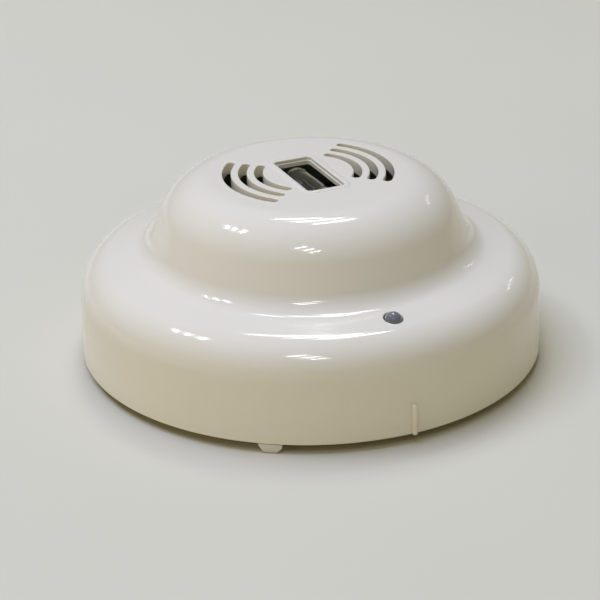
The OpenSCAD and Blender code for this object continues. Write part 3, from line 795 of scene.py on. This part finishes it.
def spread_tree():
    """Puts a part on every point, turned by the point's own turn and a little play."""
    tree, given = new_tree("spread_parts", {
        "Part": ("Object", None), "Play": ("Float", 0.0), "Seed": ("Int", 7)})
    part = linked(tree, "GeometryNodeObjectInfo", {"Object": given["Part"]})
    turn = linked(tree, "GeometryNodeInputNamedAttribute", {"Name": "turn"}, data_type="FLOAT")
    low = maths(tree, "MULTIPLY", given["Play"], -1.0)
    play = linked(tree, "FunctionNodeRandomValue", {2: low, 3: given["Play"], "Seed": given["Seed"]},
                  data_type="FLOAT")
    total = maths(tree, "ADD", turn.outputs["Attribute"], play.outputs[1])
    spin = linked(tree, "ShaderNodeCombineXYZ", {"Z": total})
    placed = linked(tree, "GeometryNodeInstanceOnPoints", {
        "Points": given["Points"], "Instance": part.outputs["Geometry"], "Rotation": spin.outputs[0]})
    return finished_tree(tree, placed.outputs[0], given["Material"])


def coil_tree():
    """Winds a wire round a rounded block: a helix stretched to the block and swept with a round section."""
    sizes = {"Half X": 0.0015, "Half Y": 0.005, "Height": 0.005, "Wire": 0.0002, "Turns": 12.0}
    tree, given = new_tree("wound_coil", {name: ("Float", default) for name, default in sizes.items()})
    helix = linked(tree, "GeometryNodeCurveSpiral", {
        "Resolution": 28, "Rotations": given["Turns"], "Start Radius": 1.0, "End Radius": 1.0,
        "Height": given["Height"]})
    where = linked(tree, "ShaderNodeSeparateXYZ", {0: tree.nodes.new("GeometryNodeInputPosition").outputs[0]})

    def squared(value, half):
        """Pushes a circle's coordinate out towards a rounded rectangle."""
        low = maths(tree, "MAXIMUM", maths(tree, "MULTIPLY", value, 1.35), -1.0)
        return maths(tree, "MULTIPLY", maths(tree, "MINIMUM", low, 1.0), half)

    shaped = linked(tree, "ShaderNodeCombineXYZ", {
        0: squared(where.outputs[0], given["Half X"]), 1: squared(where.outputs[1], given["Half Y"]),
        2: where.outputs[2]})
    path = linked(tree, "GeometryNodeSetPosition", {
        "Geometry": helix.outputs[0], "Position": shaped.outputs[0]})
    section = linked(tree, "GeometryNodeCurvePrimitiveCircle", {"Resolution": 8, "Radius": given["Wire"]})
    swept = linked(tree, "GeometryNodeCurveToMesh", {
        "Curve": path.outputs[0], "Profile Curve": section.outputs[0], "Fill Caps": True})
    placed = linked(tree, "GeometryNodeInstanceOnPoints", {
        "Points": given["Points"], "Instance": swept.outputs[0]})
    return finished_tree(tree, placed.outputs[0], given["Material"])


def points_mesh(places, name):
    """A mesh of loose points with a turn for each."""
    mesh = mesh_of([p for p, _ in places], [], name)
    turn = mesh.attributes.new("turn", "FLOAT", "POINT")
    turn.data.foreach_set("value", [t for _, t in places])
    return mesh


def grown(piece, tree, inputs):
    """Runs a tree on a piece, with inputs found by name, and bakes the result."""
    nodes = piece.modifiers.new(tree.name, "NODES")
    nodes.node_group = tree
    sockets = {i.name: i.identifier for i in tree.interface.items_tree if i.in_out == "INPUT"}
    for name, value in inputs.items():
        nodes[sockets[name]] = value
    return baked(piece)


def solids(node):
    """Points of each separate solid of a CAD node, in the order of the node's mesh."""
    work = bmesh.new()
    work.from_mesh(frame["nodes"][node].data)
    bmesh.ops.remove_doubles(work, verts=work.verts, dist=1e-6)
    seen, found = set(), []
    for first in work.verts:
        if first in seen:
            continue
        seen.add(first)
        group, queue = [], [first]
        while queue:
            vert = queue.pop()
            group.append(vert.co.copy())
            for edge in vert.link_edges:
                other = edge.other_vert(vert)
                if other not in seen:
                    seen.add(other)
                    queue.append(other)
        found.append(group)
    work.free()
    return found


def extent(group):
    """Low and high corner of a solid's points."""
    return tuple(Vector(pick(p[i] for p in group) for i in range(3)) for pick in (min, max))


def boxes(node):
    return [extent(group) for group in solids(node)]


def whole(node):
    return extent([point for group in solids(node) for point in group])


def above(low, high, z):
    """Middle of a box in plan, at height z."""
    return ((low.x + high.x) / 2, (low.y + high.y) / 2, z)


def heading(group):
    """Direction of a solid's long side in plan."""
    flat = np.array([(p.x, p.y) for p in group])
    flat = flat - (flat.min(0) + flat.max(0)) / 2
    axes = np.linalg.eigh(flat.T @ flat)[1]
    return math.atan2(axes[1, 1], axes[0, 1])


def screw_part(radius, head_r, head_h, length, thread, down=False):
    """Pan-head screw standing on its head's underside at z = 0, with a cross and thread rings."""
    section = [(0, head_h)] + arc((head_r - 0.45 * head_h, 0.4 * head_h), 0.6 * head_h, math.pi / 2, 0.0, 8)
    widest = max(r for r, _ in section)
    section = [(min(r * head_r / widest, head_r), z) for r, z in section]
    section += [(head_r, 0.12 * head_h), (head_r - 0.1 * MM, 0), (radius, 0)]
    rings = int((length - 1.4 * MM) / THREAD_PITCH)
    for i in range(rings):
        z = -THREAD_START - i * THREAD_PITCH
        section += [(radius - thread, z), (radius, z - 0.5 * THREAD_PITCH)]
    section.append((radius - thread, -THREAD_START - rings * THREAD_PITCH))
    section += [(radius * 0.62, -length), (0, -length)]
    part = add("screw_part", lathe(section, 40, "screw_part"))
    half, narrow, floor_z = head_r * 0.6, head_r * 0.12, head_h * 0.45
    for x, y in ((half, narrow), (narrow, half)):
        carve(part, pillow((-x, -y, floor_z), (x, y, head_h + MM), 0.04 * MM, 1, "arm"), "DIFFERENCE")
    if down:
        part.data.transform(Matrix.Rotation(math.pi, 4, "X"))
    return part


def dumbbell_part(half, end_r, waist_r, name):
    """Axial resistor or diode body lying along X."""
    ends = 0.3 * half if end_r > waist_r else 0.12 * half
    profile = [(0, half), (0.72 * end_r, half)]
    profile += arc((end_r - 0.25 * MM, half - 0.25 * MM), 0.25 * MM, math.pi / 2, 0, 4)
    profile += [(end_r, half - ends), (0.5 * (end_r + waist_r), half - 1.35 * ends)]
    profile.append((waist_r, half - 1.7 * ends))
    profile += [(r, -z) for r, z in reversed(profile)]
    return add(name, lathe(profile, 36, name, Matrix.Rotation(math.pi / 2, 4, "Y")))


def dome_part(radius, height, shank, depth):
    """Rivet with a domed head over its shank."""
    angles = [math.pi / 2 * i / 7 for i in range(1, 8)]
    section = [(0, height)] + [(radius * math.sin(a), height * math.cos(a)) for a in angles]
    section += [(radius, -0.02 * MM), (shank, -0.02 * MM), (shank, -depth), (0, -depth)]
    return add("rivet_part", lathe(section, 32, "rivet_part"))


def leg_part(low_z):
    """Bent leg of a chip: out from the body, down and out again along the board."""
    side = [(-0.6, 1.0), (0.35, 1.0), (0.46, 0.9), (0.46, 0.12), (0.5, 0.0), (1.4, 0.0)]
    top = [(-0.6, 1.2), (0.42, 1.2), (0.6, 1.1), (0.66, 0.95), (0.66, 0.28), (0.72, 0.2), (1.4, 0.2)]
    outline = [(y * MM, low_z + z * MM) for y, z in side + top[::-1]]
    rings = [[(x, y, z) for y, z in outline] for x in (-LEG_WIDTH / 2, LEG_WIDTH / 2)]
    return add("leg_part", stack(rings, "leg_part"))


class DETECTOR_OT_repeats(bpy.types.Operator):
    """Make the screws, rivets, resistors, diodes, chip legs and winding with Geometry Nodes"""

    bl_idname = "detector.repeats"
    bl_label = "Repeated pieces"

    def execute(self, context):
        self.tree = spread_tree()
        self.screws()
        self.rivets()
        self.resistors_and_diodes()
        self.legs()
        self.winding()
        return {"FINISHED"}

    def spread(self, node, part, places, play=0.0):
        piece = add(node + "_set", points_mesh(places, node + "_set"))
        grown(piece, self.tree, {"Part": part, "Play": play, "Seed": 7, "Material": finish(SLOT[node])})
        smooth(piece, 30)
        bpy.data.objects.remove(part)
        settle(piece, node)

    def screws(self):
        for node, shank, head_h, up in (("cover_screws", 0.95 * MM, 1.5 * MM, False),
                                        ("board_screws", 1.2 * MM, 1.7 * MM, True)):
            found = boxes(node)
            low, high = found[0]
            length = high.z - low.z - head_h
            part = screw_part(shank, (high.x - low.x) / 2, head_h, length, 0.14 * MM, down=not up)
            seat = high.z - head_h if up else low.z + head_h
            self.spread(node, part, [(above(*box, seat), 0.6 * i) for i, box in enumerate(found)], play=0.8)
        for i in range(1, 5):
            node, head_h = f"terminal_screw_{i}", 1.9 * MM
            low, high = whole(node)
            part = screw_part(1.45 * MM, (high.x - low.x) / 2, head_h, high.z - low.z - head_h, 0.12 * MM)
            self.spread(node, part, [(above(low, high, high.z - head_h), 0.9 * i)], play=0.5)

    def rivets(self):
        found, dome = boxes("spring_rivets"), 0.5 * MM
        low, high = found[0]
        part = dome_part((high.x - low.x) / 2, dome, 0.6 * MM, high.z - low.z - dome)
        self.spread("spring_rivets", part, [(above(*box, box[1].z - dome), 0.0) for box in found])

    def resistors_and_diodes(self):
        for node, half, ends, waist in (("resistors", 3.1, 1.15, 0.95), ("diodes", 2.0, 0.9, 0.88)):
            part = dumbbell_part(half * MM, ends * MM, waist * MM, node + "_part")
            places = [(sum(extent(group), Vector()) / 2, heading(group)) for group in solids(node)]
            self.spread(node, part, places)

    def legs(self):
        middle = sum(whole("controller_chip"), Vector()) / 2
        places = []
        for flip in (0, math.pi):
            for i in range(-3, 4):
                foot = Vector((i * LEG_PITCH, LEG_REACH * math.cos(flip)))
                x, y = Matrix.Rotation(CHIP_TURN, 2) @ foot
                places.append(((middle.x + x, middle.y + y, 0.0), CHIP_TURN + flip))
        self.spread("chip_legs", leg_part(whole("chip_legs")[0].z), places)

    def winding(self):
        found, wire = boxes("transformer_winding"), 0.2 * MM
        size = (found[0][1] - found[0][0]) / 2
        piece = add("winding", points_mesh([(above(*box, box[0].z + wire), 0.0) for box in found], "winding"))
        grown(piece, coil_tree(), {
            "Half X": size.x - wire, "Half Y": size.y - wire, "Height": 2 * size.z - 2 * wire,
            "Wire": wire, "Turns": 13.0, "Material": finish("enamelled_copper")})
        inset = Vector((1.6 * wire, 1.6 * wire, 0.4 * wire))
        formers = [pillow(low + inset, high - inset, 0.3 * MM, 2, "former") for low, high in found]
        piece.data = joined([piece.data.copy(), *formers], "winding")
        smooth(piece, 50)
        settle(piece, "transformer_winding")


# ---- Edges of carried pieces ----

# Width of the rounded edge of each piece, in millimetres
SOFTENED = {
    "base_plate": 0.22, "head_chassis": 0.2, "tube_cradle": 0.15, "thermistor_post": 0.12, "lamp_holder": 0.1,
    "transformer_core": 0.2, "transformer_bobbin": 0.15, "controller_chip": 0.12, "film_capacitor": 0.9,
    "supply_capacitors": 0.12, "circuit_board": 0.08, "terminal_nuts": 0.12, "contact_pads": 0.08,
    "clamp_plate_1": 0.12, "clamp_plate_2": 0.12, "clamp_plate_3": 0.12, "clamp_plate_4": 0.12,
}


class DETECTOR_OT_edges(bpy.types.Operator):
    """Round the edges of the moulded, pressed and turned pieces"""

    bl_idname = "detector.edges"
    bl_label = "Rounded pieces"

    def execute(self, context):
        for node, width in SOFTENED.items():
            mesh = frame["nodes"][node].data.copy()
            work = bmesh.new()
            work.from_mesh(mesh)
            bmesh.ops.remove_doubles(work, verts=work.verts, dist=1e-6)
            bmesh.ops.dissolve_limit(work, angle_limit=math.radians(0.5), verts=work.verts, edges=work.edges)
            work.to_mesh(mesh)
            work.free()
            mesh.name = node + "_soft"
            piece = add(node + "_soft", mesh)
            bevel = piece.modifiers.new("edges", "BEVEL")
            bevel.width, bevel.segments, bevel.limit_method = width * MM, 2, "ANGLE"
            bevel.angle_limit = math.radians(40)
            baked(piece)
            smooth(piece, 38)
            settle(piece, node)
        return {"FINISHED"}


class DETECTOR_OT_finishes(bpy.types.Operator):
    """Give every carried CAD piece its finish"""

    bl_idname = "detector.finishes"
    bl_label = "Finishes"

    def execute(self, context):
        for node, piece in frame["nodes"].items():
            if piece.hide_render:
                continue
            piece.data.materials.clear()
            piece.data.materials.append(finish(SLOT[node]))
        return {"FINISHED"}


# ---- Stage ----

# Height of the ceiling and width of its tube lights, in metres, and the shape of the curved floor
CEILING, TUBE_LIGHT_WIDTH = 1.2, 0.05
FLOOR_TOP, FLOOR_FLAT, FLOOR_BEND, FLOOR_TURNS = -0.2 * MM, 1.4, 0.8, 96


def area_light(name, size, watts, tone):
    data = bpy.data.lights.new(name, "AREA")
    data.shape, data.size, data.size_y = "RECTANGLE", *size
    data.energy, data.color = watts, tone
    return add(name, data)


def softbox(name, azimuth, elevation, reach, size, watts, tone):
    """A large light on a direction from the object, which gloss doesn't reflect."""
    lamp = area_light(name, size, watts, tone)
    a, e = math.radians(azimuth), math.radians(elevation)
    toward = Vector((math.cos(a) * math.cos(e), math.sin(a) * math.cos(e), math.sin(e)))
    lamp.location = Vector((0, 0, 0.03)) + toward * reach
    lamp.rotation_mode = "QUATERNION"
    lamp.rotation_quaternion = toward.to_track_quat("Z", "Y")
    lamp.visible_glossy = False


def ceiling_tubes(name, x, y, length, degrees, pitch, glow, tone):
    """Three thin tube lights side by side on the ceiling, placed in shares of its height."""
    turn = math.radians(degrees)
    for i in range(3):
        shift = (i - 1) * pitch
        size = (length * CEILING, TUBE_LIGHT_WIDTH)
        lamp = area_light(f"{name}_tube_{i}", size, glow * size[0] * size[1], tone)
        place = Vector((x - shift * math.sin(turn), y + shift * math.cos(turn), 1.0))
        lamp.location = place * CEILING
        lamp.rotation_euler = (0, 0, turn)


class DETECTOR_OT_stage(bpy.types.Operator):
    """Make the floor, the lights and the camera"""

    bl_idname = "detector.stage"
    bl_label = "Stage"

    def execute(self, context):
        s = context.scene.detector_stage
        f = Finish("floor")
        tone = tuple(s.floor_tint)
        base = f.mix(f.noise(180, 2).between(0.3, 0.7), shade(tone, 0.985), shade(tone, 1.015))
        f.surface(Base_Color=base, Roughness=0.75 + f.noise(40, 2) * 0.05, Specular_IOR_Level=0.3)
        rings = [(0.2 * i, FLOOR_TOP) for i in range(1, 8)]
        rings += arc((FLOOR_FLAT, FLOOR_BEND + FLOOR_TOP), FLOOR_BEND, -math.pi / 2, -math.pi / 12, 14)
        points = [p for r, z in rings for p in ring(r, z, FLOOR_TURNS)] + [(0, 0, FLOOR_TOP)]
        faces = [(len(points) - 1, k, (k + 1) % FLOOR_TURNS) for k in range(FLOOR_TURNS)]
        floor = add("floor", mesh_of(points, faces + bands(len(rings), FLOOR_TURNS), "floor"))
        floor.data.shade_smooth()
        floor.data.materials.append(f.material)

        world = bpy.data.worlds.new("studio")
        world.use_nodes = True
        background = world.node_tree.nodes["Background"]
        background.inputs["Color"].default_value = (1.0, 0.92, 0.69, 1)
        background.inputs["Strength"].default_value = 0.24
        context.scene.world = world

        cool, warm, white = (0.43, 0.525, 1.0), (1.0, 0.82, 0.48), (0.90, 0.96, 1.0)
        softbox("overhead", 150, 75, 1.1, (0.9, 0.9), s.key, cool)
        softbox("low_left", -170, 16, 1.2, (0.9, 0.5), 1.6, warm)
        ceiling_tubes("back", 0.25, 0.48, 0.27, 15, 0.155, 80, white)
        ceiling_tubes("front", -0.33, -0.70, 0.19, 14, 0.155, 80, white)
        ceiling_tubes("left", -0.565, 0.37, 0.16, 15, 0.12, 80, white)
        ceiling_tubes("right", 1.70, 0.88, 0.22, 15, 0.155, 16, white)

        cam = bpy.data.cameras.new("camera")
        cam.lens, cam.sensor_width, cam.clip_start, cam.clip_end = s.lens, 36, 0.01, 50
        camera = add("camera", cam)
        a, e = s.turn, s.height
        back = Vector((math.sin(a) * math.cos(e), -math.cos(a) * math.cos(e), math.sin(e)))
        aim = Vector((-2.43 * MM * math.cos(a), -2.43 * MM * math.sin(a), 11.34 * MM))
        camera.location = aim + back * s.camera_distance
        camera.rotation_mode = "QUATERNION"
        rolled = Matrix.Rotation(s.roll, 4, "Z").to_quaternion()
        camera.rotation_quaternion = (-back).to_track_quat("-Z", "Y") @ rolled
        context.scene.camera = camera
        context.scene.view_settings.view_transform = "Standard"
        return {"FINISHED"}


class DETECTOR_PT_panel(bpy.types.Panel):
    """Lists the detector's pieces"""

    bl_idname = "DETECTOR_PT_panel"
    bl_label = "Heat detector"
    bl_space_type = "VIEW_3D"
    bl_region_type = "UI"
    bl_category = "Detector"

    def draw(self, context):
        for group in ("detector_cover", "detector_openings", "detector_stage"):
            box = self.layout.box()
            values = getattr(context.scene, group)
            for key in values.bl_rna.properties.keys():
                if key not in ("rna_type", "name"):
                    box.prop(values, key)
        for operator in OPERATORS:
            self.layout.operator(operator.bl_idname)


GROUPS = {"detector_cover": DETECTOR_PG_cover, "detector_openings": DETECTOR_PG_openings,
          "detector_stage": DETECTOR_PG_stage}
OPERATORS = (DETECTOR_OT_stage, DETECTOR_OT_cover, DETECTOR_OT_lamp, DETECTOR_OT_tube, DETECTOR_OT_repeats,
             DETECTOR_OT_edges, DETECTOR_OT_finishes)


def register():
    for cls in (*GROUPS.values(), *OPERATORS, DETECTOR_PT_panel):
        bpy.utils.register_class(cls)
    for name, cls in GROUPS.items():
        setattr(bpy.types.Scene, name, PointerProperty(type=cls))


def unregister():
    for name in GROUPS:
        delattr(bpy.types.Scene, name)
    for cls in reversed((*GROUPS.values(), *OPERATORS, DETECTOR_PT_panel)):
        bpy.utils.unregister_class(cls)


def main():
    register()
    for operator in OPERATORS:
        section, name = operator.bl_idname.split(".")
        getattr(getattr(bpy.ops, section), name)()


if __name__ == "__main__":
    main()
